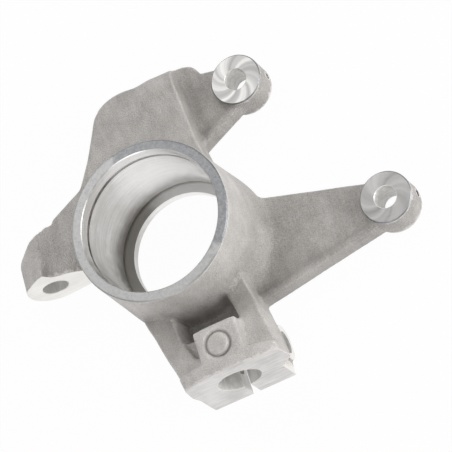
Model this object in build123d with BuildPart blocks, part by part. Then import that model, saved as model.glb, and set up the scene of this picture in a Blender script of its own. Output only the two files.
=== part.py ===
from build123d import *
import math
import os

# Steering knuckle, one aluminium casting with machined seats, in millimetres.
# Origin: centre of the wheel bearing, on the wheel axis. +Z: wheel axis, pointing outboard.
# +Y: up on the vehicle, along the steering axis. +X: towards the brake caliper.

# Wheel bearing seat
BEARING_D = 64.0
BEARING_WIDTH = 37.0
RELIEF_WIDTH = 1.1
RELIEF_DEPTH = 0.6
SNAP_RING_WIDTH = 2.15
SNAP_RING_DEPTH = 1.5
MOUTH_DEPTH = 5.4
MOUTH_WIDENING = 0.4
REAR_LIP_D = 54.2
REAR_LIP_LENGTH = 4.4

# Hub barrel
BARREL_WALL = 5.0
BARREL_DRAFT = 2.0
BARREL_EDGE = 0.8

# Collar on the barrel that the lower caliper arm grows from
COLLAR_WIDTH = 4.2
COLLAR_HEIGHT = 4.6
COLLAR_FLARE = 8.0
COLLAR_FOOT = 2.4
COLLAR_SEAT = 0.4
COLLAR_FROM = -64.0
COLLAR_TO = 16.0
COLLAR_FADE = 48.0

# Caliper arms, above the inboard face that all of the casting's rear shares
ARM_BACK_LIFT = 3.3
WEB_THICKNESS = 6.7
RIB_HEIGHT = 2.3
RIB_WIDTH = 4.4
RIB_SLOPE = 4.2
RIB_EDGE_R = 1.4
WEB_EDGE_R = 1.5
ARM_INSET = 2.4

# Caliper bosses
BOSS_D = 24.0
BOSS_HEIGHT = 14.8
BOSS_HOLE_D = 10.2
BOSS_FOOT_R = 1.8
BOSS_CHAMFER = 0.5
CROSS_HOLE_D = 3.0
CROSS_HOLE_LIFT = 4.0
CROSS_HOLE_DEPTH = 4.0
UPPER_BOSS = (48.6, 62.5)
LOWER_BOSS = (94.9, -21.3)
UPPER_ARM_ROOTS = ((20.0, 78.8), (20.0, 38.3))
LOWER_ARM_ROOTS = ((34.0, 8.2), (20.0, -42.7))

# Upright between the hub and the upper ball joint
UPRIGHT_FRONT = -1.0
TOP_FACE_Y = 82.4
UPRIGHT_LEFT = ((-20.0, 10.0), (-38.5, 16.5), (-46.8, 22.4), (-51.4, 26.2), (-53.3, 30.0), (-52.5, 33.6))
UPRIGHT_ROOT = (-35.2, 41.8)
UPRIGHT_BEND = (-27.7, 53.3)
UPRIGHT_SHOULDER = (-14.0, 80.3)
UPRIGHT_SHOULDER_R = 24.0
CROWN_X = 6.0
RIDGE_TOP_X = 21.8
RIDGE = ((23.4, 56.0), (24.0, 44.0), (25.0, 35.0), (27.6, 24.0))
RIDGE_END = (1, -3)
UPRIGHT_FOOT_R = 2.0
TOP_ROUND_FROM_X = -60.0
TOP_ROUND_LEFT = 8.0
TOP_ROUND_RIGHT = 15.0
TOP_BLOCK_LEFT = 10.0
TOP_BLOCK_RIGHT = 31.6
TOP_BLOCK_FOOT_Y = 60.0
TOP_BLOCK_CORNER = 6.0
MARK_CENTRE = (10.6, 66.5)
MARK_D = 9.8
MARK_HEIGHT = 0.35

# Upper ball joint stud bore
UPPER_STUD_D = 15.0
UPPER_STUD_X = 4.0
UPPER_STUD_Z = -12.5
UPPER_STUD_DEPTH = 26.0

# Steering arm lug
LUG_FACE_Y = 6.2
LUG_X = -62.4
LUG_Z = -9.3
LUG_R = 13.2
LUG_HOLE_D = 12.0
LUG_FOOT_R = 1.5
LUG_SEAT_Y = 24.5
LUG_SEAT_D = 18.0
LUG_FADE_Y = 32.0
LUG_ROOT = (-30.0, 42.0)
LUG_BACK = (2.0, 2.5)
LUG_NOSE = (8.0, 6.5)
LUG_SHELF = ((-64.9, 0.2), (-61.6, 0.2), (-59.2, 0.0), (-56.0, -0.4), (-52.8, -1.6), (-48.8, -2.0), (-44.0, -2.5))
LUG_FACE = ((-64.9, 5.9), (-61.6, 7.3), (-59.2, 2.2), (-56.0, 0.1), (-52.8, -0.7), (-48.8, -3.4), (-44.0, -8.0))
LUG_EDGE = ((-61.2, 30.2), (-66.8, 27.3), (-73.8, 23.4), (-80.0, 19.5))

# Lower ball joint clamp
CLAMP_FACE_Y = -74.5
CLAMP_X = 8.5
CLAMP_Z = -2.1
CLAMP_BORE_D = 19.8
CLAMP_BORE_DEPTH = 19.0
CLAMP_FRONT = 12.3
CLAMP_CROWN = 3.5
PARTING_Z = 0.0
STEP_Z = -5.4
STEP_DRAFT = 0.8
SIDE_RIGHT_FRONT = ((24.0, -25.0), (25.5, -36.0), (28.5, -47.0), (30.7, -56.5), (32.0, -65.0))
SIDE_RIGHT_REAR = ((23.4, -25.0), (24.6, -36.0), (26.2, -47.0), (27.2, -56.5), (27.6, -65.0))
SIDE_LEFT = ((-13.6, -67.2), (-17.4, -54.2), (-20.6, -41.4), (-24.2, -29.9))
CLAMP_RIGHT = 33.3
CLAMP_RIGHT_REAR = 27.8
CLAMP_LEFT = -12.4
CLAMP_ROOT = (-20.0, -20.0)
FLASH_OUT = 1.2
PAD_START_Y = -30.0
PAD_END_Y = -67.0
PAD_RISE = 9.8
RIGHT_PAD = ((-33.0, -1.2), (-45.0, 3.8), (-57.0, 9.5))
BAND_Y_LEFT = -67.4
BAND_Y_RIGHT = -69.6
PLATE_LEFT = -1.0
PLATE_RIGHT = 19.9
PLATE_TOP_Y = -52.6
POCKET_FLOOR_Z = -13.0
POCKET_TAPER = 6.0
POCKET_FLOOR_R = 2.5
POCKET = ((-11.2, -28.0), (-7.6, -49.4), (17.4, -50.6), (13.8, -36.0), (12.8, -28.0))
GROOVE_FLOOR_Z = 3.0
GROOVE = ((-9.6, -48.0), (-4.8, -61.0), (-2.2, -62.0), (-1.0, -60.0), (-1.0, -48.0))
BUTTON_CENTRE = (9.2, -61.8)
BUTTON_D = 9.8
BUTTON_GROOVE = 1.2
BUTTON_DEPTH = 0.9
SLIT_X = 8.1
SLIT_WIDTH = 3.5
SLIT_LENGTH = 26.0
PINCH_Y = -61.8
PINCH_Z = -15.8
PINCH_HOLE_D = 10.4
PINCH_FACE_X = 29.9
PINCH_PAD_DEPTH = 8.0
PINCH_NUT_X = -14.2

seat_r = BEARING_D / 2
barrel_rear = -BEARING_WIDTH / 2 - RELIEF_WIDTH - REAR_LIP_LENGTH
barrel_front = BEARING_WIDTH / 2 + SNAP_RING_WIDTH + MOUTH_DEPTH
barrel_length = barrel_front - barrel_rear
barrel_front_r = seat_r + BARREL_WALL
barrel_rear_r = barrel_front_r + barrel_length * math.tan(math.radians(BARREL_DRAFT))
web_back = barrel_rear + ARM_BACK_LIFT
web_front = web_back + WEB_THICKNESS
foot_top = UPRIGHT_FRONT + UPRIGHT_FOOT_R
foot_top_r = barrel_front_r + (barrel_front - foot_top) * math.tan(math.radians(BARREL_DRAFT))


def touch_point(root, centre, radius, side):
    """Point where a line from root touches the circle; side is +1 or -1."""
    away = Vector(centre[0] - root[0], centre[1] - root[1])
    angle = math.atan2(away.Y, away.X) + side * math.asin(radius / away.length)
    reach = math.sqrt(away.length**2 - radius**2)
    return (root[0] + reach * math.cos(angle), root[1] + reach * math.sin(angle))


# Hub barrel, drafted on its outside
with BuildPart() as barrel:
    with BuildSketch(Plane.XZ):
        with BuildLine():
            Polyline(
                (0, barrel_rear),
                (barrel_rear_r, barrel_rear),
                (barrel_front_r, barrel_front - BARREL_EDGE),
                (barrel_front_r - BARREL_EDGE, barrel_front),
                (0, barrel_front),
                close=True,
            )
        make_face()
    revolve(axis=Axis.Z)

# Collar: flares out of the barrel wall, rounds over and drops to the web with a soft foot
collar_r = barrel_front_r + COLLAR_WIDTH
collar_top = web_front + COLLAR_HEIGHT
flare_z = collar_top + COLLAR_FLARE
with BuildPart() as collar:
    with BuildSketch(Plane.XZ.rotated((0, 0, COLLAR_FROM))):
        with BuildLine():
            rise = Line((seat_r, flare_z), (barrel_front_r + COLLAR_SEAT, flare_z))
            flare = TangentArc(rise @ 1, (collar_r - COLLAR_WIDTH / 3, collar_top), tangent=(0, -1))
            crest = Line(flare @ 1, (collar_r, web_front + COLLAR_FOOT))
            foot = TangentArc(crest @ 1, (collar_r + COLLAR_FOOT, web_front), tangent=(0, -1))
            Polyline(foot @ 1, (collar_r + COLLAR_FOOT, web_back), (seat_r, web_back), rise @ 0)
        make_face()
    revolve(axis=Axis.Z, revolution_arc=COLLAR_TO - COLLAR_FROM)
    # Its upper end fades into the barrel
    fade = Plane(
        origin=Vector(barrel_front_r, 0).rotate(Axis.Z, COLLAR_TO),
        z_dir=Vector(1, 0).rotate(Axis.Z, COLLAR_FADE),
    )
    split(bisect_by=fade, keep=Keep.BOTTOM)


def arm(boss_centre, roots):
    """Web, edge rib and caliper boss; roots are where its two edges leave the casting."""
    edge_r = BOSS_D / 2 - ARM_INSET
    top = touch_point(roots[0], boss_centre, edge_r, 1)
    bottom = touch_point(roots[1], boss_centre, edge_r, -1)
    along = Vector(bottom[0] - roots[1][0], bottom[1] - roots[1][1])
    inward = Vector(-along.Y, along.X)
    free_edge = (Vector(*roots[0]) + Vector(*top)) / 2 + Vector(0, 0, web_front)
    crest_z = web_front + RIB_HEIGHT
    with BuildPart() as body:
        with BuildSketch(Plane.XY.offset(web_back)):
            with BuildLine():
                Polyline(roots[0], top, boss_centre, bottom, roots[1], close=True)
            make_face()
        extrude(amount=WEB_THICKNESS)
        fillet(body.edges().sort_by_distance(free_edge)[0], WEB_EDGE_R)
        # Rib section, square to the arm's lower edge: rounded outside, a soft slope down to the web
        with BuildSketch(Plane(origin=roots[1], x_dir=inward, z_dir=along)):
            with BuildLine():
                wall = Line((0, web_back), (0, crest_z - RIB_EDGE_R))
                shoulder = TangentArc(wall @ 1, (RIB_EDGE_R, crest_z), tangent=wall % 1)
                crest = Line(shoulder @ 1, (RIB_WIDTH - RIB_SLOPE / 2, crest_z))
                fall = TangentArc(crest @ 1, (RIB_WIDTH, crest_z - RIB_HEIGHT / 2), tangent=crest % 1)
                foot = TangentArc(fall @ 1, (RIB_WIDTH + RIB_SLOPE / 2, web_front), tangent=fall % 1)
                Polyline(foot @ 1, (RIB_WIDTH + RIB_SLOPE / 2, web_back), wall @ 0)
            make_face()
        extrude(amount=along.length)
        with BuildSketch(Plane.XY.offset(barrel_rear)):
            with Locations(boss_centre):
                Circle(BOSS_D / 2)
        extrude(amount=BOSS_HEIGHT)
        boss_wall = body.faces().filter_by(GeomType.CYLINDER).sort_by(SortBy.AREA)[-1]
        joins = boss_wall.edges().filter_by(lambda join: web_back < join.center().Z <= crest_z)
        joins = joins.filter_by(lambda join: not join.is_closed and join.length != BOSS_HEIGHT)
        fillet(joins, BOSS_FOOT_R)
        chamfer(body.faces().sort_by(Axis.Z)[-1].outer_wire().edges(), BOSS_CHAMFER)
    return body.part


upper_arm = arm(UPPER_BOSS, UPPER_ARM_ROOTS)
lower_arm = arm(LOWER_BOSS, LOWER_ARM_ROOTS)

# Upright: its section along X, with a top edge that rounds off more towards the right
with BuildPart() as upright:
    for section_x, top_round in ((TOP_ROUND_FROM_X, TOP_ROUND_LEFT), (TOP_BLOCK_RIGHT, TOP_ROUND_RIGHT)):
        with BuildSketch(Plane.YZ.offset(section_x)) as upright_section:
            with BuildLine():
                Polyline(
                    (0, barrel_rear),
                    (TOP_FACE_Y, barrel_rear),
                    (TOP_FACE_Y, UPRIGHT_FRONT),
                    (0, UPRIGHT_FRONT),
                    close=True,
                )
            make_face()
            fillet(upright_section.vertices().group_by(Axis.Y)[-1].sort_by(Axis.X)[-1], top_round)
    loft(ruled=True)
    # Soft corner round the barrel
    with BuildSketch(Plane.XZ):
        with BuildLine():
            rest = Line((0, foot_top), (foot_top_r, foot_top))
            foot = TangentArc(rest @ 1, (foot_top_r + UPRIGHT_FOOT_R, UPRIGHT_FRONT), tangent=(0, -1))
            Polyline(foot @ 1, (0, UPRIGHT_FRONT), rest @ 0)
        make_face()
    revolve(axis=Axis.Z)
    with BuildSketch(Plane.XY.offset(barrel_rear)) as upright_outline:
        with BuildLine():
            left = Polyline(
                *UPRIGHT_LEFT,
                UPRIGHT_ROOT,
                UPRIGHT_BEND,
                UPRIGHT_SHOULDER,
                (CROWN_X, TOP_FACE_Y),
                (RIDGE_TOP_X, TOP_FACE_Y),
                RIDGE[0],
            )
            ridge = Spline(*RIDGE, tangents=[left % 1, RIDGE_END])
            Line(ridge @ 1, left @ 0)
        make_face()
        shoulder = upright_outline.vertices().sort_by_distance(UPRIGHT_SHOULDER)[0]
        fillet(shoulder, UPRIGHT_SHOULDER_R)
    extrude(amount=foot_top - barrel_rear, mode=Mode.INTERSECT)
    # Behind the arm's web its right side steps in
    with BuildSketch(Plane.XY.offset(barrel_rear)):
        with Locations((RIDGE_TOP_X, 0)):
            Rectangle(BEARING_D, TOP_FACE_Y, align=Align.MIN)
    extrude(amount=web_front - barrel_rear, mode=Mode.SUBTRACT)
    with BuildSketch(Plane.XY.offset(UPRIGHT_FRONT)):
        with Locations(MARK_CENTRE):
            Circle(MARK_D / 2)
    extrude(amount=MARK_HEIGHT, taper=45)

with BuildPart() as top_block:
    with BuildSketch(Plane.XY.offset(barrel_rear)) as top_outline:
        with BuildLine():
            Polyline(
                (TOP_BLOCK_LEFT, TOP_BLOCK_FOOT_Y),
                (TOP_BLOCK_LEFT, TOP_FACE_Y),
                (TOP_BLOCK_RIGHT, TOP_FACE_Y),
                (TOP_BLOCK_RIGHT, TOP_BLOCK_FOOT_Y),
                close=True,
            )
        make_face()
        fillet(top_outline.vertices().group_by(Axis.Y)[-1].sort_by(Axis.X)[-1], TOP_BLOCK_CORNER)
    extrude(amount=web_front - barrel_rear)

# Steering arm lug: the nose over the tie rod hole fades into a level shelf at the upright
lug_rear = LUG_Z - LUG_R
with BuildPart() as lug:
    for plan_y, ridge in ((LUG_FACE_Y, LUG_FACE), (LUG_FADE_Y, LUG_SHELF)):
        with BuildSketch(Plane.XZ.offset(-plan_y)):
            with BuildLine():
                back = Line((LUG_ROOT[0], lug_rear + LUG_BACK[1]), (LUG_X + LUG_BACK[0], lug_rear))
                nose = (ridge[0][0] - LUG_NOSE[0], ridge[0][1] - LUG_NOSE[1])
                tip = ThreePointArc(back @ 1, (LUG_X - LUG_R, LUG_Z), nose)
                Polyline(tip @ 1, *ridge, (LUG_ROOT[0], ridge[-1][1]), back @ 0)
            make_face()
    loft(ruled=True)
    with BuildSketch(Plane.XY.offset(barrel_rear)) as lug_outline:
        with BuildLine():
            Polyline(
                (LUG_ROOT[0], LUG_FACE_Y),
                (LUG_EDGE[-1][0], LUG_FACE_Y),
                *reversed(LUG_EDGE),
                UPRIGHT_LEFT[-1],
                LUG_ROOT,
                close=True,
            )
        make_face()
    extrude(amount=barrel_length, mode=Mode.INTERSECT)

# Lower ball joint clamp, its sides: outline at the rear, at the step, at the parting plane and in front
side_step = tuple(((a[0] + b[0]) / 2, a[1]) for a, b in zip(SIDE_RIGHT_FRONT, SIDE_RIGHT_REAR))
clamp_levels = (
    (barrel_rear, SIDE_RIGHT_REAR, CLAMP_RIGHT_REAR, 0.0),
    (STEP_Z, side_step, CLAMP_RIGHT_REAR + STEP_DRAFT, 0.0),
    (PARTING_Z, SIDE_RIGHT_FRONT, CLAMP_RIGHT, FLASH_OUT),
    (barrel_front, SIDE_RIGHT_FRONT, CLAMP_RIGHT, -FLASH_OUT),
)
with BuildPart() as clamp_sides:
    for level, side, corner_x, out in clamp_levels:
        with BuildSketch(Plane.XY.offset(level)):
            with BuildLine():
                Polyline(
                    *side,
                    (corner_x, CLAMP_FACE_Y),
                    (CLAMP_LEFT - out, CLAMP_FACE_Y),
                    *[(x - out, y) for x, y in SIDE_LEFT],
                    CLAMP_ROOT,
                    close=True,
                )
            make_face()
    loft(ruled=True)

# Its front: a straight rib at the left and one at the right that swells, both rising from the
# barrel to the band, a pocket between them, and a plate that stands on the crowned band
pad_slope = PAD_RISE / (PAD_START_Y - PAD_END_Y)
pad_low_y = CLAMP_FACE_Y - CLAMP_CROWN
crown_half = (CLAMP_RIGHT - CLAMP_LEFT) / 2
crown_r = (crown_half**2 + CLAMP_CROWN**2) / (2 * CLAMP_CROWN)
crown_top = CLAMP_FRONT + CLAMP_CROWN
reach_x = 2 * crown_half
behind_z = 2 * barrel_rear
ahead_z = 2 * crown_top
with BuildPart() as clamp_front:
    with BuildSketch(Plane.YZ):
        with BuildLine():
            Polyline(
                (0, behind_z),
                (pad_low_y, behind_z),
                (pad_low_y, (PAD_START_Y - pad_low_y) * pad_slope),
                (0, PAD_START_Y * pad_slope),
                close=True,
            )
        make_face()
    extrude(amount=-reach_x)
    with BuildSketch(Plane.YZ):
        with BuildLine():
            swell = Spline(*RIGHT_PAD, tangents=[(-1, 0), (-1, 0)])
            Polyline(
                swell @ 1,
                (pad_low_y, RIGHT_PAD[-1][1]),
                (pad_low_y, behind_z),
                (0, behind_z),
                (0, RIGHT_PAD[0][1]),
                swell @ 0,
            )
        make_face()
    extrude(amount=reach_x)
    with BuildSketch(Plane.XY.offset(POCKET_FLOOR_Z)):
        with BuildLine():
            Polyline(*POCKET, close=True)
        make_face()
    extrude(amount=barrel_front - POCKET_FLOOR_Z, taper=-POCKET_TAPER, mode=Mode.SUBTRACT)
    pocket_centre = (CLAMP_X, PAD_START_Y, POCKET_FLOOR_Z)
    pocket_floor = clamp_front.faces().filter_by(Axis.Z).sort_by_distance(pocket_centre)[0]
    fillet(pocket_floor.edges(), POCKET_FLOOR_R)
    with BuildSketch(Plane.XY.offset(GROOVE_FLOOR_Z)):
        with BuildLine():
            Polyline(*GROOVE, close=True)
        make_face()
    extrude(amount=barrel_front, mode=Mode.SUBTRACT)
with BuildPart() as clamp_wall:
    with BuildSketch(Plane.XY.offset(behind_z)) as wall_outline:
        with BuildLine():
            Polyline(
                (-reach_x, pad_low_y),
                (-reach_x, BAND_Y_LEFT),
                (PLATE_LEFT, BAND_Y_LEFT),
                (PLATE_LEFT, PLATE_TOP_Y),
                (PLATE_RIGHT, PLATE_TOP_Y),
                (PLATE_RIGHT, BAND_Y_LEFT),
                (CLAMP_RIGHT, BAND_Y_RIGHT),
                (reach_x, BAND_Y_RIGHT),
                (reach_x, pad_low_y),
                close=True,
            )
        make_face()
    extrude(amount=ahead_z - behind_z)
    with BuildSketch(Plane.XZ):
        with Locations(((CLAMP_LEFT + CLAMP_RIGHT) / 2, crown_top - crown_r)):
            Circle(crown_r)
    extrude(amount=-2 * pad_low_y, mode=Mode.INTERSECT)
with BuildPart() as clamp:
    add(clamp_front.part)
    add(clamp_wall.part)
    add(clamp_sides.part, mode=Mode.INTERSECT)
    # Round pad for the head of the pinch bolt
    with BuildSketch(Plane.YZ.offset(PINCH_FACE_X - PINCH_PAD_DEPTH)):
        with Locations((PINCH_Y, PINCH_Z)):
            Circle(PINCH_Z - barrel_rear)
    extrude(amount=PINCH_PAD_DEPTH)
    # Ejector button in its groove
    with BuildSketch(Plane.XY.offset(crown_top - BUTTON_DEPTH)):
        with Locations(BUTTON_CENTRE):
            Circle(BUTTON_D / 2 + BUTTON_GROOVE)
            Circle(BUTTON_D / 2, mode=Mode.SUBTRACT)
    extrude(amount=BUTTON_DEPTH, mode=Mode.SUBTRACT)

with BuildPart() as knuckle:
    add(barrel.part)
    add(collar.part)
    add(upper_arm)
    add(lower_arm)
    add(upright.part)
    add(top_block.part)
    add(lug.part)
    add(clamp.part)
    # Bearing bore, snap ring groove, relief and rear lip
    with BuildSketch(Plane.XZ):
        with BuildLine():
            Polyline(
                (0, barrel_rear),
                (REAR_LIP_D / 2, barrel_rear),
                (REAR_LIP_D / 2, barrel_rear + REAR_LIP_LENGTH),
                (seat_r + RELIEF_DEPTH, barrel_rear + REAR_LIP_LENGTH),
                (seat_r + RELIEF_DEPTH, -BEARING_WIDTH / 2),
                (seat_r, -BEARING_WIDTH / 2),
                (seat_r, BEARING_WIDTH / 2),
                (seat_r + SNAP_RING_DEPTH, BEARING_WIDTH / 2),
                (seat_r + SNAP_RING_DEPTH, BEARING_WIDTH / 2 + SNAP_RING_WIDTH),
                (seat_r, BEARING_WIDTH / 2 + SNAP_RING_WIDTH),
                (seat_r + MOUTH_WIDENING, barrel_front),
                (0, barrel_front),
                close=True,
            )
        make_face()
    revolve(axis=Axis.Z, mode=Mode.SUBTRACT)
    # Caliper bolt holes
    with BuildSketch(Plane.XY.offset(barrel_rear)):
        with Locations(UPPER_BOSS, LOWER_BOSS):
            Circle(BOSS_HOLE_D / 2)
    extrude(amount=BOSS_HEIGHT, mode=Mode.SUBTRACT)
    # Small cross hole in the outer side of each boss
    for boss_x, boss_y in (UPPER_BOSS, LOWER_BOSS):
        with BuildSketch(Plane.YZ.offset(boss_x + BOSS_D / 2)):
            with Locations((boss_y, barrel_rear + CROSS_HOLE_LIFT)):
                Circle(CROSS_HOLE_D / 2)
        extrude(amount=-CROSS_HOLE_DEPTH, mode=Mode.SUBTRACT)
    # Tie rod hole and the seat of its nut
    with BuildSketch(Plane.XZ.offset(-LUG_FACE_Y)):
        with Locations((LUG_X, LUG_Z)):
            Circle(LUG_HOLE_D / 2)
    extrude(amount=LUG_FACE_Y - TOP_FACE_Y, mode=Mode.SUBTRACT)
    with BuildSketch(Plane.XZ.offset(-LUG_SEAT_Y)):
        with Locations((LUG_X, LUG_Z)):
            Circle(LUG_SEAT_D / 2)
    extrude(amount=LUG_SEAT_Y - TOP_FACE_Y, mode=Mode.SUBTRACT)
    # Lower stud bore and the slit that lets it close
    with BuildSketch(Plane.XZ.offset(-CLAMP_FACE_Y)):
        with Locations((CLAMP_X, CLAMP_Z)):
            Circle(CLAMP_BORE_D / 2)
    extrude(amount=-CLAMP_BORE_DEPTH, mode=Mode.SUBTRACT)
    with BuildSketch(Plane.XZ.offset(-CLAMP_FACE_Y)):
        with Locations((SLIT_X, (CLAMP_Z + barrel_rear) / 2)):
            Rectangle(SLIT_WIDTH, CLAMP_Z - barrel_rear)
    extrude(amount=-SLIT_LENGTH, mode=Mode.SUBTRACT)
    # Pinch bolt hole across the slit and the seat of its nut
    with BuildSketch(Plane.YZ.offset(CLAMP_RIGHT)):
        with Locations((PINCH_Y, PINCH_Z)):
            Circle(PINCH_HOLE_D / 2)
    extrude(amount=2 * CLAMP_LEFT - CLAMP_RIGHT, mode=Mode.SUBTRACT)
    with BuildSketch(Plane.YZ.offset(PINCH_NUT_X)):
        with Locations((PINCH_Y, PINCH_Z)):
            Circle(PINCH_Z - barrel_rear)
    extrude(amount=CLAMP_LEFT, mode=Mode.SUBTRACT)
    # Upper stud bore
    with BuildSketch(Plane.XZ.offset(-TOP_FACE_Y)):
        with Locations((UPPER_STUD_X, UPPER_STUD_Z)):
            Circle(UPPER_STUD_D / 2)
    extrude(amount=UPPER_STUD_DEPTH, mode=Mode.SUBTRACT)
    # Soft corner where the tie rod face runs into the barrel
    tie_rod_face = knuckle.faces().filter_by(Axis.Y).sort_by_distance((LUG_X, LUG_FACE_Y, LUG_Z))[0]
    fillet(tie_rod_face.edges().filter_by(GeomType.HYPERBOLA), LUG_FOOT_R)

knuckle.part.label = "knuckle_casting"
os.makedirs("parts", exist_ok=True)
export_step(knuckle.part, "parts/knuckle_casting.step")
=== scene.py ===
import math

import bmesh
import bpy
import numpy as np
from mathutils import Matrix, Vector


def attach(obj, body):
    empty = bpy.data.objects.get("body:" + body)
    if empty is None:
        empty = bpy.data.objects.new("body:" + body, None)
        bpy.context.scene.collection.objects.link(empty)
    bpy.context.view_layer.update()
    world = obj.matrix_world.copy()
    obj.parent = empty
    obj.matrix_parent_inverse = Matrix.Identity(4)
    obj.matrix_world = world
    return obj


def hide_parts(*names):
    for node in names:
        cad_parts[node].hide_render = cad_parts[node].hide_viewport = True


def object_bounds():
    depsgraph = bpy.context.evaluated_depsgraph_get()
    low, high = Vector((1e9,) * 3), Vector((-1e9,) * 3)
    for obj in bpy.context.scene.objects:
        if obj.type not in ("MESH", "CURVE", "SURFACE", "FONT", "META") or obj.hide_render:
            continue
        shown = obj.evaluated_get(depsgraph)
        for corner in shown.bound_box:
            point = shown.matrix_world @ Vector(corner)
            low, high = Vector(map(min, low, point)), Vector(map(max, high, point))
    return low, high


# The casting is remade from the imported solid: stock is added where it is machined, its corners are
# softened as a mould leaves them, and then each seat, bore and hole is cut to size.
# Shapes are in millimetres until the last step. X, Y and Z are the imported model's.

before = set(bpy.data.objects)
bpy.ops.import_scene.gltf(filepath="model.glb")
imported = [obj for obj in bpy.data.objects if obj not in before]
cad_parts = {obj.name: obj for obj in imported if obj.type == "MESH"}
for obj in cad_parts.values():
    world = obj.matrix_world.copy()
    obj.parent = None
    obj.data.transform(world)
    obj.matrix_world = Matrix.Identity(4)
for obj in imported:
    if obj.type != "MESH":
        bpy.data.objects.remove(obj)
cad_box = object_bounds()
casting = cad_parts["knuckle_casting"]
MM = 0.001
FLOOR_Z = cad_box[0].z

# Studio: places in metres. The camera was fitted to the machined circles in the photograph.
CAMERA_PLACE = (0.310682, -0.490164, 1.047624)
CAMERA_RIGHT = Vector((0.88045506, -0.29088092, -0.37441578))
CAMERA_UP = Vector((0.40877086, 0.86580136, 0.28860768))
CAMERA_BACK = CAMERA_RIGHT.cross(CAMERA_UP)
CAMERA_LENS = 214.85
CAMERA_SENSOR = 36.0
# Name, place, size and power in watts of each lamp
LAMPS = (
    ("top", (-0.20, 0.62, 0.75), 0.7, 3.0),
    ("side", (0.98, -0.20, 0.20), 0.5, 6.2),
    ("low", (-0.25, -0.90, 0.34), 0.6, 1.7),
)
ROOM_LIGHT = 0.5
FLOOR_HALF = 3.0
FLOOR_GREY = 0.8
FLOOR_WHITENESS = 0.97

# Flat machined faces
REAR_Z = -24.0
FRONT_Z = 26.05
TOP_Y = 82.4
CLAMP_FACE_Y = -74.5
CLAMP_SIDE_X = 27.4
CLAMP_SIDE_TOP_Y = -71.0
CLAMP_SIDE_FRONT_Z = -6.6
LUG_FACE_Y = 6.2
LUG_FACE_RIGHT_X = -30.0
LUG_FACE_FRONT_Z = 10.0
BOSS_FACE_Z = -9.2

# Bearing bore, from the rear to the front, and the barrel round it
SHOULDER_R = 27.1
SHOULDER_Z = -19.6
RELIEF_R = 32.6
SEAT_R = 32.0
SEAT_Z = 18.5
SNAP_RING_R = 33.5
SNAP_RING_Z = 20.65
MOUTH_R = 32.75
RING_R = 36.4
RING_CHAMFER = 2.0
BARREL_R = 37.0
BARREL_SLOPE = math.tan(math.radians(2.0))
REAR_PAD_R = 38.6

# Caliper bosses
BOSSES = ((48.6, 62.5), (94.9, -21.3))
BOSS_R = 12.0
BOSS_CHAMFER = 0.5
BOSS_HOLE_R = 5.1
CROSS_HOLE_R = 1.5
CROSS_HOLE_Z = -20.0
CROSS_HOLE_DEPTH = 4.0

# Steering arm lug and upper stud bore; a bore's place is a point on its axis
LUG_HOLE = (-62.4, 0.0, -9.3)
LUG_HOLE_R = 6.0
LUG_SEAT_Y = 24.5
LUG_SEAT_R = 9.0
STUD_BORE = (4.0, 0.0, -12.5)
STUD_R = 7.5
STUD_FLOOR_Y = 56.4

# Lower ball joint clamp
CLAMP_BORE = (8.5, 0.0, -2.1)
CLAMP_BORE_R = 9.9
CLAMP_BORE_END_Y = -55.5
SLIT = (6.35, 9.85)
SLIT_END_Y = -48.5
POCKET_EDGE_Y = -51.5
POCKET_FLOOR_Z = -13.0
PINCH = (0.0, -61.8, -15.8)
PINCH_R = 5.2
NUT_SEAT_X = -14.2
NUT_SEAT_R = 8.2
HEAD_SEAT_X = 29.9
HEAD_SEAT_R = 9.2

# Upright: its front face, the round along its top and the slope of its top edge beside the crown
UPRIGHT_FRONT = -1.0
TOP_ROUND = 12.9
CROWN_X = 6.0
CROWN_SLOPE = 2.1 / 20.0

# Marks of the mould and the cast skin
MARK = (10.6, 66.5)
MARK_R = 4.7
MARK_RISE = 0.22
MARK_EDGE = 0.22
BUTTON = (9.2, -61.8)
BUTTON_Z = 15.9
GROOVE_R = 5.6
GROOVE_WIDTH = 0.75
GROOVE_DEPTH = 1.2
WALL_SWELL = 1.7
REAR_STEP = 0.4
SKIN_WAVE = 0.05
SKIN_WAVE_LENGTH = 13.0
SKIN_GRAIN = 0.012
SKIN_GRAIN_LENGTH = 3.5

# Making of the mesh
STOCK = 3.0
VOXEL = 0.55
EASE = 0.5
TRIANGLES = 140000
MERGE = 1e-4
CRISP_ANGLE = math.radians(32)

# Directions round the wheel axis, in degrees from +X
# Side round the wheel axis where the bore wall and its shoulder get painted light
UPPER_RIGHT = 62.0
CALIPER_SIDE = 30.0


def solid(name, points, faces, finishes=None):
    """Mesh object from points and faces; finishes gives each face's material."""
    mesh = bpy.data.meshes.new(name)
    mesh.from_pydata(points, [], faces)
    if finishes:
        slots = list(dict.fromkeys(finishes))
        for finish in slots:
            mesh.materials.append(finish)
        mesh.polygons.foreach_set("material_index", [slots.index(finish) for finish in finishes])
    thing = bpy.data.objects.new(name, mesh)
    bpy.context.scene.collection.objects.link(thing)
    return thing


def box(name, low, high, finish=None):
    """Box between two corners."""
    points = [(x, y, z) for x in (low[0], high[0]) for y in (low[1], high[1]) for z in (low[2], high[2])]
    faces = [(0, 1, 3, 2), (4, 6, 7, 5), (0, 4, 5, 1), (2, 3, 7, 6), (0, 2, 6, 4), (1, 5, 7, 3)]
    return solid(name, points, faces, [finish] * 6 if finish else None)


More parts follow.
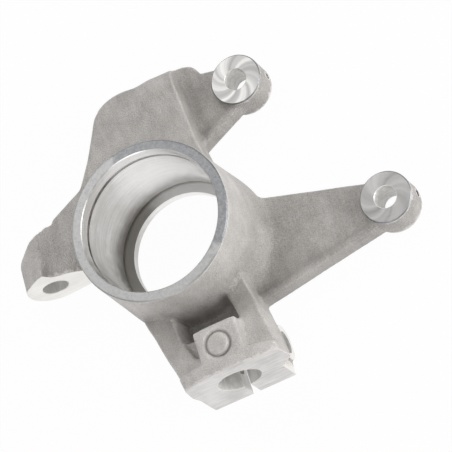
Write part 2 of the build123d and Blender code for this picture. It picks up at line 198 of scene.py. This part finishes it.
def lathe(name, outline, place, axis, finish=None, steps=128):
    """Closed turned solid about an axis; outline is (radius, height) from axis to axis, upwards.
    finish is one material or one for each stretch of the outline."""
    turn = {"X": (1, 2, 0), "Y": (2, 0, 1), "Z": (0, 1, 2)}[axis]
    points, rows = [], []
    for radius, height in outline:
        start = len(points)
        count = steps if radius else 1
        for step in range(count):
            angle = 2 * math.pi * step / steps
            local = (radius * math.cos(angle), radius * math.sin(angle), height)
            point = list(place)
            for part, value in zip(turn, local):
                point[part] += value
            points.append(point)
        rows.append([start + step % count for step in range(steps + 1)])
    faces, finishes = [], []
    for stretch, (low, high) in enumerate(zip(rows, rows[1:])):
        for step in range(steps):
            ring = (low[step], low[step + 1], high[step + 1], high[step])
            face = tuple(dict.fromkeys(ring))
            if len(face) > 2:
                faces.append(face)
                finishes.append(finish[stretch] if isinstance(finish, list) else finish)
    return solid(name, points, faces, finishes if finish else None)


def plug(place, axis, radius, low, high):
    """Closed cylinder that fills a bore or adds stock before the casting is softened."""
    return lathe("plug", [(0, low), (radius, low), (radius, high), (0, high)], place, axis, steps=64)


def stud_plug():
    """Filler of the upper stud bore, its end rounded off as the upright's top edge is there."""
    radius = STUD_R + 0.5
    start = STUD_FLOOR_Y - 0.9
    end = TOP_Y + STOCK
    outline = [(0, start), (radius, start)] + [(radius * share, end) for share in (1, 0.75, 0.5, 0.25, 0)]
    filler = lathe("plug", outline, STUD_BORE, "Y", steps=64)
    round_z = UPRIGHT_FRONT - TOP_ROUND
    for vertex in filler.data.vertices:
        if vertex.co.y < end:
            continue
        beside_crown = CROWN_X - vertex.co.x
        if vertex.co.z > round_z:
            vertex.co.y = TOP_Y - TOP_ROUND + math.sqrt(TOP_ROUND**2 - (vertex.co.z - round_z) ** 2)
        elif beside_crown > 0:
            vertex.co.y = TOP_Y
        vertex.co.y -= CROWN_SLOPE * max(beside_crown, 0)
    return filler


def settle(thing, modifier_kind, **settings):
    """Runs one modifier on the object's mesh and keeps the result."""
    modifier = thing.modifiers.new("work", modifier_kind)
    for setting, value in settings.items():
        setattr(modifier, setting, value)
    graph = bpy.context.evaluated_depsgraph_get()
    mesh = bpy.data.meshes.new_from_object(thing.evaluated_get(graph))
    thing.modifiers.clear()
    thing.data = mesh


def cut(body, cutter):
    """Takes the cutter out of the body; the cut faces get the cutter's finishes."""
    settle(
        body,
        "BOOLEAN",
        operation="DIFFERENCE",
        solver="MANIFOLD",
        object=cutter,
        material_mode="TRANSFER",
    )
    bpy.data.objects.remove(cutter)


def face_stock(work, axis, value, side):
    """Prism of stock on the flat faces that lie at value along the axis and look to that side."""
    k = "XYZ".index(axis)
    square_on, close = 0.99, 0.01
    flat = [
        face
        for face in work.faces
        if face.normal[k] * side > square_on and all(abs(v.co[k] - value) < close for v in face.verts)
    ]
    copied = bmesh.ops.duplicate(work, geom=flat)["geom"]
    base = [item for item in copied if isinstance(item, bmesh.types.BMFace)]
    raised = bmesh.ops.extrude_face_region(work, geom=base, use_keep_orig=True)["geom"]
    for item in raised:
        if isinstance(item, bmesh.types.BMVert):
            item.co[k] += side * STOCK
    for vertex in {v for face in base for v in face.verts}:
        vertex.co[k] -= side * VOXEL
    bmesh.ops.reverse_faces(work, faces=base)


def fillers():
    """Plugs, each wider than the bore or hole that is cut there later, and stock on the round
    machined faces."""
    centre = (0, 0, 0)
    low_z = REAR_Z - STOCK
    slit_left, slit_right = SLIT[0] - VOXEL, SLIT[1] + VOXEL
    plugs = [
        plug(centre, "Z", REAR_PAD_R, low_z, REAR_Z + STOCK),
        plug(centre, "Z", BARREL_R - 2, REAR_Z, FRONT_Z),
        plug(centre, "Z", BARREL_R, FRONT_Z - STOCK, FRONT_Z + STOCK),
        plug(LUG_HOLE, "Y", LUG_HOLE_R + 1.0, LUG_FACE_Y - STOCK, LUG_SEAT_Y),
        plug(CLAMP_BORE, "Y", CLAMP_BORE_R + 1.1, CLAMP_FACE_Y - STOCK, CLAMP_BORE_END_Y + 1.0),
        stud_plug(),
        plug(PINCH, "X", PINCH_R + 1.2, NUT_SEAT_X, HEAD_SEAT_X),
        plug(PINCH, "X", HEAD_SEAT_R - 1.0, HEAD_SEAT_X - 3.9, HEAD_SEAT_X + STOCK / 2),
        box(
            "plug",
            (slit_left, CLAMP_FACE_Y - STOCK, REAR_Z),
            (slit_right, POCKET_EDGE_Y, CLAMP_BORE[2]),
        ),
        box(
            "plug",
            (slit_left, POCKET_EDGE_Y - 1.0, REAR_Z),
            (slit_right, SLIT_END_Y + 1.0, POCKET_FLOOR_Z - 1.0),
        ),
    ]
    for x, y in BOSSES:
        cross_hole = (0, y, CROSS_HOLE_Z)
        plugs.append(plug((x, y, 0), "Z", BOSS_R, low_z, BOSS_FACE_Z + STOCK))
        plugs.append(plug(cross_hole, "X", CROSS_HOLE_R + 0.7, x + BOSS_R / 2, x + BOSS_R - 0.1))
    return plugs


def blank():
    """The casting with machining stock and no bores, as one closed mesh of voxels."""
    mesh = casting.data.copy()
    mesh.materials.clear()
    mesh.transform(Matrix.Scale(1 / MM, 4))
    work = bmesh.new()
    work.from_mesh(mesh)
    bmesh.ops.remove_doubles(work, verts=work.verts, dist=MERGE)
    face_stock(work, "Y", CLAMP_FACE_Y, -1)
    face_stock(work, "Y", LUG_FACE_Y, -1)
    face_stock(work, "Y", TOP_Y, 1)
    for filler in fillers():
        work.from_mesh(filler.data)
        bpy.data.objects.remove(filler)
    work.to_mesh(mesh)
    work.free()
    body = bpy.data.objects.new("casting", mesh)
    bpy.context.scene.collection.objects.link(body)
    settle(body, "REMESH", mode="VOXEL", voxel_size=VOXEL, adaptivity=0)
    return body


def vertex_normals(points, quads):
    """Each point's normal, from the four-sided faces round it."""
    a, b, c, d = (points[quads[:, k]] for k in range(4))
    across = np.cross(c - a, d - b)
    normals = np.zeros_like(points)
    for k in range(3):
        for corner in range(4):
            normals[:, k] += np.bincount(quads[:, corner], across[:, k], len(points))
    return normals / np.linalg.norm(normals, axis=1)[:, None]


def relax(points, edges, quads, rounds, factor=EASE, fill_only=False):
    """Evens the surface out by factor, one number or one for each point; with fill_only it only
    fills hollow corners."""
    a, b = edges.T
    count = len(points)
    links = np.bincount(a, minlength=count) + np.bincount(b, minlength=count)
    for _ in range(rounds):
        pull = np.empty_like(points)
        for k in range(3):
            total = np.bincount(a, points[b, k], count) + np.bincount(b, points[a, k], count)
            pull[:, k] = total / links - points[:, k]
        if fill_only:
            normals = vertex_normals(points, quads)
            pull = normals * np.maximum((pull * normals).sum(1), 0)[:, None]
        points += factor * pull


def ramp(values, start, end):
    """0 at start, 1 at end and beyond, softly between."""
    share = np.clip((values - start) / (end - start), 0, 1)
    return share * share * (3 - 2 * share)


def wobble(points, seed, length, count=14):
    """Smooth unevenness between about -1 and 1, from waves of about that length."""
    dice = np.random.default_rng(seed)
    height = np.zeros(len(points))
    for _ in range(count):
        way = dice.normal(size=3)
        way *= 2 * math.pi / (length * dice.uniform(0.7, 1.6) * np.linalg.norm(way))
        height += np.sin(points @ way + dice.uniform(0, 2 * math.pi))
    return height / math.sqrt(count)


def from_axis(points, centre=(0.0, 0.0)):
    """Each point's distance from the line along Z through centre."""
    return np.hypot(points[:, 0] - centre[0], points[:, 1] - centre[1])


def run_out_lug(points, edges, quads):
    """Lets the front of the steering arm lug run smoothly into the upright."""
    x, y = points[:, 0], points[:, 1]
    faces_front = ramp(vertex_normals(points, quads)[:, 2], 0.3, 0.7)
    blend = ramp(x, -36, -42) * ramp(y, 9, 13) * faces_front * ramp(y, 34, 30)
    relax(points, edges, quads, rounds=110, factor=EASE * blend[:, None])


def swell_wall(points):
    """Lets the clamp's right wall stand out at the parting plane."""
    x, y, z = points.T
    on_wall = ramp(x, 26, 29) * ramp(y, -44, -56) * ramp(y, -84, -66)
    at_parting = ramp(z, -6.0, -3.6) * ramp(z, 10.0, -1.0)
    points[:, 0] += WALL_SWELL * (on_wall * at_parting)


def raise_mark(points, normals):
    """Raises the ejector mark on the upright's front."""
    front = (normals[:, 2] > 0.9) & (np.abs(points[:, 2] - UPRIGHT_FRONT) < 2)
    out = from_axis(points[front], MARK)
    points[front, 2] += MARK_RISE / (1 + np.exp((out - MARK_R) / MARK_EDGE))


def press_groove(points, normals):
    """Presses the groove round the button into the clamp's plate."""
    front = (normals[:, 2] > 0.5) & (points[:, 2] > BUTTON_Z - 3)
    out = from_axis(points[front], BUTTON)
    points[front, 2] -= GROOVE_DEPTH * np.exp(-(((out - GROOVE_R) / GROOVE_WIDTH) ** 2))


def lift_rear_skin(points):
    """Keeps the cast skin behind a little off the machined faces there."""
    margin = 0.5
    machined = from_axis(points) < REAR_PAD_R + margin
    for centre in BOSSES:
        machined |= from_axis(points, centre) < BOSS_R + margin
    points[~machined, 2] = np.maximum(points[~machined, 2], REAR_Z + REAR_STEP)


def soften(body):
    """Gives the blank the soft corners, the marks and the slight unevenness of a cast skin."""
    mesh = body.data
    points = np.empty(len(mesh.vertices) * 3)
    mesh.vertices.foreach_get("co", points)
    points = points.reshape(-1, 3)
    edges = np.empty(len(mesh.edges) * 2, np.int32)
    mesh.edges.foreach_get("vertices", edges)
    edges = edges.reshape(-1, 2)
    quads = np.array([tuple(face.vertices) for face in mesh.polygons])
    relax(points, edges, quads, rounds=10)
    relax(points, edges, quads, rounds=26, fill_only=True)
    relax(points, edges, quads, rounds=3)
    run_out_lug(points, edges, quads)
    swell_wall(points)
    normals = vertex_normals(points, quads)
    skin = SKIN_WAVE * wobble(points, seed=3, length=SKIN_WAVE_LENGTH)
    skin += SKIN_GRAIN * wobble(points, seed=4, length=SKIN_GRAIN_LENGTH)
    points += normals * skin[:, None]
    raise_mark(points, normals)
    press_groove(points, normals)
    lift_rear_skin(points)
    points[:, 0] = np.clip(points[:, 0], cad_box[0].x / MM, cad_box[1].x / MM)
    mesh.vertices.foreach_set("co", points.ravel())
    mesh.update()
    settle(body, "DECIMATE", ratio=TRIANGLES / (2 * len(quads)))


def machine_flats(body, milled, brushed):
    """Mills the rear, the clamp face, the top and the lug's face."""
    far, wide, deep = 130.0, 60.0, 9.0
    cut(body, box("rear", (-far, -far, REAR_Z - deep), (far, far, REAR_Z), milled))
    cut(body, box("clamp_face", (-wide, CLAMP_FACE_Y - deep, -far), (wide, CLAMP_FACE_Y, far), milled))
    cut(body, box("top_face", (-wide, TOP_Y, -far), (wide, TOP_Y + deep, far), milled))
    lug_low = (-far, LUG_FACE_Y - 5.0, REAR_Z - 6.0)
    lug_high = (LUG_FACE_RIGHT_X, LUG_FACE_Y, LUG_FACE_FRONT_Z)
    lug = box("lug_face", lug_low, lug_high, brushed)
    # The lug's cutter stays clear of the barrel
    beside = BARREL_R + 0.3
    low, high = -40.0, 20.0
    barrel = [
        (0, low),
        (beside + BARREL_SLOPE * (FRONT_Z - low), low),
        (beside + BARREL_SLOPE * (FRONT_Z - high), high),
        (0, high),
    ]
    cut(lug, lathe("barrel_side", barrel, (0, 0, 0), "Z", brushed))
    cut(body, lug)


def machine_hub(body, bored, shoulder, drilled, turned):
    """Bores the bearing seat with its shoulder, relief and snap ring groove, and turns the ring."""
    edge = 0.4
    below, above, outside = REAR_Z - 4.0, FRONT_Z + 6.0, 40.0
    ring_foot = FRONT_Z - RING_CHAMFER
    hub = [
        (0, below),
        (SHOULDER_R, below),
        (SHOULDER_R, SHOULDER_Z),
        (RELIEF_R, SHOULDER_Z),
        (RELIEF_R, -SEAT_Z),
        (SEAT_R, -SEAT_Z),
        (SEAT_R, SEAT_Z),
        (SNAP_RING_R, SEAT_Z),
        (SNAP_RING_R, SNAP_RING_Z),
        (SEAT_R, SNAP_RING_Z),
        (MOUTH_R - edge, FRONT_Z - edge),
        (MOUTH_R, FRONT_Z),
        (RING_R, FRONT_Z),
        (RING_R + RING_CHAMFER, ring_foot),
        (outside, ring_foot),
        (outside, above),
        (0, above),
    ]
    finishes = [bored] * 2 + [shoulder] + [drilled] * 2 + [bored] * 6 + [turned] * 5
    cut(body, lathe("hub_bore", hub, (0, 0, 0), "Z", finishes, steps=256))


def machine_boss(body, centre, face, bored, drilled, turned):
    """Spot faces a caliper boss and drills its bolt hole and the blind hole in its side."""
    x, y = centre
    edge = 0.3
    flank, outside = 1.3, BOSS_R + 2.5
    below, above = REAR_Z - 4.0, BOSS_FACE_Z + 5.2
    face_r = BOSS_R - BOSS_CHAMFER
    boss = [
        (0, below),
        (BOSS_HOLE_R, below),
        (BOSS_HOLE_R, BOSS_FACE_Z - edge),
        (BOSS_HOLE_R + edge, BOSS_FACE_Z),
        (face_r, BOSS_FACE_Z),
        (face_r + flank, BOSS_FACE_Z - flank),
        (outside, BOSS_FACE_Z - flank),
        (outside, above),
        (0, above),
    ]
    cut(body, lathe("boss", boss, (x, y, 0), "Z", [drilled] * 3 + [face] + [turned] * 4))
    floor, end = x + BOSS_R - CROSS_HOLE_DEPTH, x + BOSS_R + 2.0
    cross = [(0, floor), (CROSS_HOLE_R, floor), (CROSS_HOLE_R, end), (0, end)]
    cut(body, lathe("cross_hole", cross, (0, y, CROSS_HOLE_Z), "X", bored, steps=48))


def machine_lug(body, drilled):
    """Drills the tie rod hole and the nut's seat above it."""
    edge, above = 0.3, 86.0
    hole = [
        (0, 0.0),
        (LUG_HOLE_R + edge, 0.0),
        (LUG_HOLE_R + edge, LUG_FACE_Y),
        (LUG_HOLE_R, LUG_FACE_Y + edge),
        (LUG_HOLE_R, LUG_SEAT_Y),
        (LUG_SEAT_R, LUG_SEAT_Y),
        (LUG_SEAT_R, above),
        (0, above),
    ]
    cut(body, lathe("lug_hole", hole, LUG_HOLE, "Y", drilled))


def machine_stud_bore(body, bored):
    """Bores the upper ball joint's stud bore from the top."""
    edge, above = 0.4, 90.0
    bore = [
        (0, STUD_FLOOR_Y),
        (STUD_R, STUD_FLOOR_Y),
        (STUD_R, TOP_Y - edge),
        (STUD_R + edge, TOP_Y),
        (STUD_R + edge, above),
        (0, above),
    ]
    cut(body, lathe("stud_bore", bore, STUD_BORE, "Y", bored))


def machine_clamp(body, drilled, brushed):
    """Bores and slits the lower clamp, drills it for the pinch bolt and faces its side."""
    edge, below, outside = 0.2, -82.0, 40.0
    bore = [
        (0, below),
        (CLAMP_BORE_R + edge, below),
        (CLAMP_BORE_R + edge, CLAMP_FACE_Y),
        (CLAMP_BORE_R, CLAMP_FACE_Y + edge),
        (CLAMP_BORE_R, CLAMP_BORE_END_Y),
        (0, CLAMP_BORE_END_Y),
    ]
    cut(body, lathe("clamp_bore", bore, CLAMP_BORE, "Y", drilled))
    cut(body, box("slit", (SLIT[0], below, REAR_Z - 4), (SLIT[1], SLIT_END_Y, CLAMP_BORE[2]), drilled))
    pinch = [
        (0, -outside),
        (NUT_SEAT_R, -outside),
        (NUT_SEAT_R, NUT_SEAT_X),
        (PINCH_R, NUT_SEAT_X),
        (PINCH_R, HEAD_SEAT_X),
        (HEAD_SEAT_R, HEAD_SEAT_X),
        (HEAD_SEAT_R, outside),
        (0, outside),
    ]
    cut(body, lathe("pinch_hole", pinch, PINCH, "X", [drilled] * 4 + [brushed] * 3))
    side_low = (CLAMP_SIDE_X, below - 2.0, REAR_Z - 6.0)
    side_high = (outside, CLAMP_SIDE_TOP_Y, CLAMP_SIDE_FRONT_Z)
    cut(body, box("clamp_side", side_low, side_high, brushed))


def machine(body, turned, bored, shoulder, spot, milled, drilled, brushed):
    """Cuts every seat, face, bore and hole, each with its own finish."""
    machine_flats(body, milled, brushed)
    machine_hub(body, bored, shoulder, drilled, turned)
    for centre, face in zip(BOSSES, spot):
        machine_boss(body, centre, face, bored, drilled, turned)
    machine_lug(body, drilled)
    machine_stud_bore(body, bored)
    machine_clamp(body, drilled, brushed)


# Finishes work in the object's own coordinates, in metres, so noise of scale 1000 has 1 mm grains


def new_node(tree, kind, **settings):
    """New node with its settings."""
    made = tree.nodes.new(kind)
    for setting, value in settings.items():
        setattr(made, setting, value)
    return made


def feed(tree, sockets, values):
    """Gives each socket its value, a number or another node's socket."""
    for socket, value in zip(sockets, values):
        if isinstance(value, (int, float)):
            socket.default_value = value
        else:
            tree.links.new(value, socket)


def calc(tree, operation, first, second=0.0, third=0.0):
    """Math node; each input is a number or a socket."""
    made = new_node(tree, "ShaderNodeMath", operation=operation)
    feed(tree, made.inputs, (first, second, third))
    return made.outputs[0]


def joined(tree, x, y, z):
    """Vector of three parts; each is a number or a socket."""
    made = new_node(tree, "ShaderNodeCombineXYZ")
    feed(tree, made.inputs, (x, y, z))
    return made.outputs[0]


def axes(tree, vector):
    """The vector's X, Y and Z."""
    made = new_node(tree, "ShaderNodeSeparateXYZ")
    tree.links.new(vector, made.inputs[0])
    return made.outputs


def between(tree, value, low, high, to_low=0.0, to_high=1.0):
    """Maps value softly from low..high to to_low..to_high."""
    made = new_node(tree, "ShaderNodeMapRange", interpolation_type="SMOOTHSTEP")
    tree.links.new(value, made.inputs["Value"])
    for name, number in zip(("From Min", "From Max", "To Min", "To Max"), (low, high, to_low, to_high)):
        made.inputs[name].default_value = number
    return made.outputs[0]


def noise(tree, vector, scale, detail=3.0, roughness=0.55):
    """Noise along a vector."""
    made = new_node(tree, "ShaderNodeTexNoise")
    made.inputs["Scale"].default_value = scale
    made.inputs["Detail"].default_value = detail
    made.inputs["Roughness"].default_value = roughness
    tree.links.new(vector, made.inputs["Vector"])
    return made.outputs["Fac"]


def stretched(tree, vector, scale):
    """The vector, scaled by its own factor along each axis."""
    made = new_node(tree, "ShaderNodeMapping")
    made.inputs["Scale"].default_value = scale
    tree.links.new(vector, made.inputs["Vector"])
    return made.outputs[0]


def paint(tree, shader, factor, dark, light):
    """Base colour, dark where factor is 0 and light where it is 1."""
    made = new_node(tree, "ShaderNodeValToRGB")
    made.color_ramp.elements[0].color = (*dark, 1)
    made.color_ramp.elements[1].color = (*light, 1)
    tree.links.new(factor, made.inputs["Fac"])
    tree.links.new(made.outputs["Color"], shader.inputs["Base Color"])


def bumped(tree, shader, height, strength, distance):
    """Bump from a height, distance being its depth in metres."""
    made = new_node(tree, "ShaderNodeBump")
    made.inputs["Strength"].default_value = strength
    made.inputs["Distance"].default_value = distance
    tree.links.new(height, made.inputs["Height"])
    tree.links.new(made.outputs[0], shader.inputs["Normal"])


def start_material(name, metallic):
    """New material with its node tree, its shader and the object's own coordinates."""
    material = bpy.data.materials.new(name)
    material.use_nodes = True
    tree = material.node_tree
    shader = tree.nodes["Principled BSDF"]
    shader.inputs["Metallic"].default_value = metallic
    place = new_node(tree, "ShaderNodeTexCoord").outputs["Object"]
    return material, tree, shader, place


def angle_of(tree, x, y):
    """Angle about the Z axis."""
    return calc(tree, "ARCTAN2", y, x)


def distance_of(tree, x, y):
    """Distance from the Z axis."""
    squares = calc(tree, "ADD", calc(tree, "MULTIPLY", x, x), calc(tree, "MULTIPLY", y, y))
    return calc(tree, "SQRT", squares)


def towards(tree, angle, degrees):
    """1 on the side of the axis that lies in that direction, -1 on the opposite side."""
    return calc(tree, "COSINE", calc(tree, "SUBTRACT", angle, math.radians(degrees)))


def cast_material():
    """Grey cast skin: finely grained and faintly mottled, with a painted highlight on its edges,
    painted light that makes it a little lighter towards the front and painted shade in its corners."""
    dark, light = (0.26, 0.246, 0.23), (0.79, 0.76, 0.735)
    material, tree, shader, place = start_material("cast_aluminium", 0.35)
    mottle = noise(tree, place, scale=70.0, detail=4.0, roughness=0.6)
    drawn_out = stretched(tree, place, (260.0, 40.0, 120.0))
    streak = noise(tree, drawn_out, scale=1.0, detail=4.0, roughness=0.65)
    grain = noise(tree, place, scale=1900.0, detail=2.0)
    coarse = noise(tree, place, scale=520.0, detail=2.0)
    # Pointiness is about 0.5 where the skin is flat, more on its edges and less in its corners
    bend = new_node(tree, "ShaderNodeNewGeometry").outputs["Pointiness"]
    # Painted highlight: lighter where the skin bends outwards along its edges
    edges = between(tree, bend, 0.512, 0.56, 0.0, 0.42)
    # Painted shade: darker in the hollow corners
    corners = between(tree, bend, 0.44, 0.492, -0.28, 0.0)
    # Painted light: a little lighter towards the front
    front = between(tree, axes(tree, place)["Z"], -0.014, 0.018, 0.0, 0.2)
    tone = calc(tree, "ADD", calc(tree, "MULTIPLY", mottle, 0.5), calc(tree, "MULTIPLY", streak, 0.3))
    tone = calc(tree, "MULTIPLY_ADD", grain, 0.6, tone)
    tone = calc(tree, "ADD", calc(tree, "ADD", tone, front), calc(tree, "ADD", edges, corners))
    paint(tree, shader, between(tree, tone, 0.30, 1.25), dark, light)
    tree.links.new(between(tree, mottle, 0.3, 0.7, 0.5, 0.62), shader.inputs["Roughness"])
    bumped(tree, shader, calc(tree, "MULTIPLY_ADD", coarse, 0.8, grain), strength=0.9, distance=0.0006)
    return material


def bored_material():
    """Bore wall: faint bands round the axis and cloudy light and dark patches, with painted light towards
    the upper right.
    """
    dark, light = (0.48, 0.465, 0.445), (0.97, 0.96, 0.95)
    material, tree, shader, place = start_material("bored_aluminium", 1.0)
    x, y, height = axes(tree, place)
    angle = angle_of(tree, x, y)
    stacked = calc(tree, "MULTIPLY", height, 700.0)
    around = joined(tree, calc(tree, "COSINE", angle), calc(tree, "SINE", angle), stacked)
    bands = noise(tree, around, scale=1.0, detail=4.0, roughness=0.7)
    cloud = noise(tree, place, scale=110.0, detail=5.0, roughness=0.65)
    tone = calc(tree, "ADD", calc(tree, "MULTIPLY", bands, 0.4), calc(tree, "MULTIPLY", cloud, 0.6))
    # Painted light: lighter towards the upper right of the bore
    painted_light = between(tree, towards(tree, angle, UPPER_RIGHT), 0.3, 0.95, 0.0, 0.3)
    paint(tree, shader, between(tree, calc(tree, "ADD", tone, painted_light), 0.3, 0.9), dark, light)
    tree.links.new(between(tree, cloud, 0.35, 0.65, 0.3, 0.45), shader.inputs["Roughness"])
    bumped(tree, shader, bands, strength=0.2, distance=0.0003)
    return material


def shoulder_material():
    """Inner shoulder of the bore: painted shade towards the lower left and painted light towards the
    upper right, under a faint cloud.
    """
    dark, light = (0.5, 0.485, 0.455), (0.97, 0.96, 0.95)
    material, tree, shader, place = start_material("shoulder_aluminium", 1.0)
    parts = axes(tree, place)
    # Painted light towards the upper right and painted shade towards the lower left
    side = towards(tree, angle_of(tree, parts["X"], parts["Y"]), UPPER_RIGHT)
    cloud = noise(tree, place, scale=120.0, detail=4.0, roughness=0.65)
    tone = calc(tree, "MULTIPLY_ADD", cloud, 0.3, side)
    paint(tree, shader, between(tree, tone, 0.7, 1.05), dark, light)
    shader.inputs["Roughness"].default_value = 0.45
    bumped(tree, shader, cloud, strength=0.2, distance=0.0002)
    return material


def turned_material():
    """Front ring and boss edges: finely pitted, with darker chattered patches towards the caliper."""
    dark, light = (0.20, 0.209, 0.223), (0.47, 0.466, 0.462)
    material, tree, shader, place = start_material("turned_aluminium", 1.0)
    parts = axes(tree, place)
    angle = angle_of(tree, parts["X"], parts["Y"])
    reach = distance_of(tree, parts["X"], parts["Y"])
    patchy = noise(tree, place, scale=110.0, detail=4.0, roughness=0.6)
    worn = calc(tree, "MULTIPLY_ADD", patchy, 1.6, towards(tree, angle, CALIPER_SIDE))
    worn = between(tree, worn, 0.95, 1.25)
    strokes = joined(tree, calc(tree, "MULTIPLY", angle, 26.0), calc(tree, "MULTIPLY", reach, 160.0), 0.0)
    chatter = noise(tree, strokes, scale=1.0, detail=3.0)
    fine = noise(tree, place, scale=900.0, detail=3.0, roughness=0.7)
    tone = calc(tree, "MULTIPLY_ADD", worn, -0.6, calc(tree, "MULTIPLY_ADD", fine, 1.3, 0.25))
    paint(tree, shader, tone, dark, light)
    shader.inputs["Roughness"].default_value = 0.5
    height = calc(tree, "MULTIPLY_ADD", fine, 0.5, calc(tree, "MULTIPLY", chatter, worn))
    bumped(tree, shader, height, strength=0.45, distance=0.0003)
    return material


def spot_material(name, centre, petals, dark, light):
    """Spot face: fine circles, and petals of painted reflection in its colour."""
    material, tree, shader, place = start_material(name, 1.0)
    parts = axes(tree, place)
    x = calc(tree, "SUBTRACT", parts["X"], centre[0] * MM)
    y = calc(tree, "SUBTRACT", parts["Y"], centre[1] * MM)
    angle = angle_of(tree, x, y)
    reach = distance_of(tree, x, y)
    twist = calc(tree, "MULTIPLY_ADD", reach, 90.0, angle)
    around = joined(tree, calc(tree, "COSINE", twist), calc(tree, "SINE", twist), 0.0)
    # Painted reflection: light and dark petals round the centre, the same pattern also feeds the bump
    painted_petals = noise(tree, around, petals, detail=2.0, roughness=0.5)
    rings = joined(tree, calc(tree, "MULTIPLY", reach, 2600.0), calc(tree, "MULTIPLY", angle, 1.5), 0.0)
    circles = noise(tree, rings, scale=1.0)
    paint(tree, shader, between(tree, painted_petals, 0.3, 0.7), dark, light)
    shader.inputs["Roughness"].default_value = 0.3
    bumped(tree, shader, calc(tree, "MULTIPLY_ADD", painted_petals, 6.0, circles), strength=0.25, distance=0.00012)
    return material


def lined_material(name, scale, dark, light, roughness, metallic=1.0):
    """Face cut or ground in one direction: long fine lines."""
    material, tree, shader, place = start_material(name, metallic)
    lines = noise(tree, stretched(tree, place, scale), scale=1.0, detail=4.0, roughness=0.65)
    cloud = noise(tree, place, scale=90.0, detail=2.0)
    tone = calc(tree, "MULTIPLY_ADD", cloud, 0.4, calc(tree, "MULTIPLY", lines, 0.6))
    paint(tree, shader, between(tree, tone, 0.32, 0.68), dark, light)
    shader.inputs["Roughness"].default_value = roughness
    bumped(tree, shader, lines, strength=0.25, distance=0.0002)
    return material


def finish_mesh(body):
    """Back to metres, smooth shaded, with crisp edges where it is machined."""
    mesh = body.data
    work = bmesh.new()
    work.from_mesh(mesh)
    bmesh.ops.dissolve_degenerate(work, dist=MERGE, edges=work.edges)
    bmesh.ops.triangulate(work, faces=[face for face in work.faces if len(face.verts) > 4])
    for face in work.faces:
        face.smooth = True
    for edge in work.edges:
        sides = edge.link_faces
        edge.smooth = not (
            len(sides) != 2
            or sides[0].material_index != sides[1].material_index
            or edge.calc_face_angle(0) > CRISP_ANGLE
        )
    work.to_mesh(mesh)
    work.free()
    mesh.transform(Matrix.Scale(MM, 4))
    mesh.update()


def make_camera():
    """Camera at the photograph's place and angle."""
    data = bpy.data.cameras.new("camera")
    data.lens = CAMERA_LENS
    data.sensor_width = CAMERA_SENSOR
    camera = bpy.data.objects.new("camera", data)
    bpy.context.scene.collection.objects.link(camera)
    turn = Matrix((CAMERA_RIGHT, CAMERA_UP, CAMERA_BACK)).transposed()
    camera.matrix_world = Matrix.Translation(CAMERA_PLACE) @ turn.to_4x4()
    bpy.context.scene.camera = camera


def make_floor():
    """White floor that keeps a pale shadow."""
    half = FLOOR_HALF
    corners = [(-half, -half), (half, -half), (half, half), (-half, half)]
    material = bpy.data.materials.new("floor")
    material.use_nodes = True
    tree = material.node_tree
    tree.nodes.clear()
    out = new_node(tree, "ShaderNodeOutputMaterial")
    mix = new_node(tree, "ShaderNodeMixShader")
    diffuse = new_node(tree, "ShaderNodeBsdfDiffuse")
    diffuse.inputs["Color"].default_value = (FLOOR_GREY, FLOOR_GREY, FLOOR_GREY, 1)
    glow = new_node(tree, "ShaderNodeEmission")
    path = new_node(tree, "ShaderNodeLightPath")
    seen = calc(tree, "MAXIMUM", path.outputs["Is Camera Ray"], path.outputs["Is Glossy Ray"])
    seen = calc(tree, "MAXIMUM", seen, path.outputs["Is Transmission Ray"])
    tree.links.new(calc(tree, "MULTIPLY", seen, FLOOR_WHITENESS), mix.inputs[0])
    tree.links.new(diffuse.outputs[0], mix.inputs[1])
    tree.links.new(glow.outputs[0], mix.inputs[2])
    tree.links.new(mix.outputs[0], out.inputs[0])
    floor = solid("floor", [(x, y, FLOOR_Z) for x, y in corners], [(0, 1, 2, 3)], [material])


def make_lights():
    """Soft boxes above, to the right and low in front, in an even pale room."""
    world = bpy.data.worlds.new("studio")
    bpy.context.scene.world = world
    world.use_nodes = True
    room = world.node_tree.nodes["Background"]
    room.inputs["Color"].default_value = (1, 1, 1, 1)
    room.inputs["Strength"].default_value = ROOM_LIGHT
    for name, place, size, power in LAMPS:
        data = bpy.data.lights.new(name, "AREA")
        data.size = size
        data.energy = power
        lamp = bpy.data.objects.new(name, data)
        bpy.context.scene.collection.objects.link(lamp)
        lamp.location = place
        lamp.rotation_euler = (-Vector(place)).to_track_quat("-Z", "Y").to_euler()


make_camera()
make_floor()
make_lights()

body = blank()
soften(body)
body.data.materials.append(cast_material())
machine(
    body,
    turned=turned_material(),
    bored=bored_material(),
    shoulder=shoulder_material(),
    spot=(
        # The lower spot face gets darker colours than the upper one though both are cut alike: painted
        # shade
        spot_material("upper_spot_face", BOSSES[0], 1.9, (0.23, 0.225, 0.22), (0.48, 0.476, 0.466)),
        spot_material("lower_spot_face", BOSSES[1], 1.1, (0.23, 0.226, 0.222), (0.36, 0.353, 0.348)),
    ),
    milled=lined_material(
        "milled_aluminium",
        scale=(90.0, 400.0, 1900.0),
        dark=(0.54, 0.525, 0.51),
        light=(0.80, 0.78, 0.765),
        roughness=0.38,
    ),
    drilled=lined_material(
        "drilled_aluminium",
        scale=(500.0, 120.0, 500.0),
        dark=(0.66, 0.65, 0.63),
        light=(0.95, 0.94, 0.92),
        roughness=0.4,
        metallic=0.3,
    ),
    brushed=lined_material(
        "brushed_aluminium",
        scale=(60.0, 400.0, 2200.0),
        dark=(0.8, 0.78, 0.75),
        light=(0.94, 0.92, 0.89),
        roughness=0.4,
    ),
)
finish_mesh(body)
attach(body, "root")
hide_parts("knuckle_casting")

bpy.context.scene.view_settings.view_transform = "Standard"
